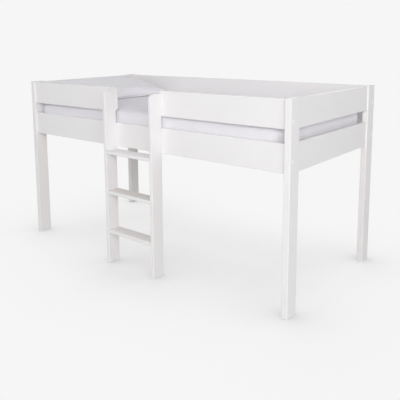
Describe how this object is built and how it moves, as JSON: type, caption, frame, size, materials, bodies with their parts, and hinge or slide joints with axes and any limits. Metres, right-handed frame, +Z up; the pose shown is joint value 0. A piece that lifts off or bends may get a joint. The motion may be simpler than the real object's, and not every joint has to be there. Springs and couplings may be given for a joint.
{
  "type": "mid sleeper bed",
  "caption": "White wooden single bed raised on tall posts, with slotted guard boards, a centred bolted ladder, a slatted base, a mattress and a pillow.",
  "frame": {"origin": "on the floor, under the middle of the box round the bed and its ladder", "axes": "+X along the bed towards the foot end, +Y from the ladder side to the back, +Z up"},
  "size_m": [1.9882, 1.047, 1.056],
  "materials": {
    "white_paint": "satin",
    "pine": "matte",
    "beech": "matte",
    "zinc_steel": "satin",
    "cap_plastic": "satin",
    "webbing": "matte",
    "fitted_sheet": "matte",
    "pillow_case": "matte"
  },
  "bodies": {
    "frame": {"back_panel": "white_paint", "barrel_nuts": "zinc_steel", "batten_screws": "zinc_steel", "cover_caps": "cap_plastic", "end_board_dowels": "beech", "foot_lower_board": "white_paint", "foot_upper_board": "white_paint", "front_lower_rail": "white_paint", "guard_rail_left": "white_paint", "guard_rail_right": "white_paint", "head_lower_board": "white_paint", "head_upper_board": "white_paint", "insert_nuts": "zinc_steel", "ladder_bolts": "zinc_steel", "ladder_stile_left": "white_paint", "ladder_stile_right": "white_paint", "ladder_tread_1": "white_paint", "ladder_tread_2": "white_paint", "ladder_tread_3": "white_paint", "post_back_left": "white_paint", "post_back_right": "white_paint", "post_front_left": "white_paint", "post_front_right": "white_paint", "rail_bolts": "zinc_steel", "rail_dowels": "beech", "side_batten_back": "pine", "side_batten_front": "pine", "slat_01": "pine", "slat_02": "pine", "slat_03": "pine", "slat_04": "pine", "slat_05": "pine", "slat_06": "pine", "slat_07": "pine", "slat_08": "pine", "slat_09": "pine", "slat_10": "pine", "slat_11": "pine", "slat_12": "pine", "slat_13": "pine", "slat_14": "pine", "slat_screws": "zinc_steel", "slat_tape_back": "webbing", "slat_tape_front": "webbing", "tread_dowels": "beech"},
    "mattress": {"mattress": "fitted_sheet"},
    "pillow": {"pillow": "pillow_case"}
  },
  "joints": [
    {"name": "mattress_lift", "type": "slide", "parent": "frame", "child": "mattress", "axis": [0, 0, 1], "range_m": [0, 0.32]},
    {"name": "pillow_lift", "type": "slide", "parent": "mattress", "child": "pillow", "axis": [0, 0, 1], "range_m": [0, 0.25]}
  ]
}
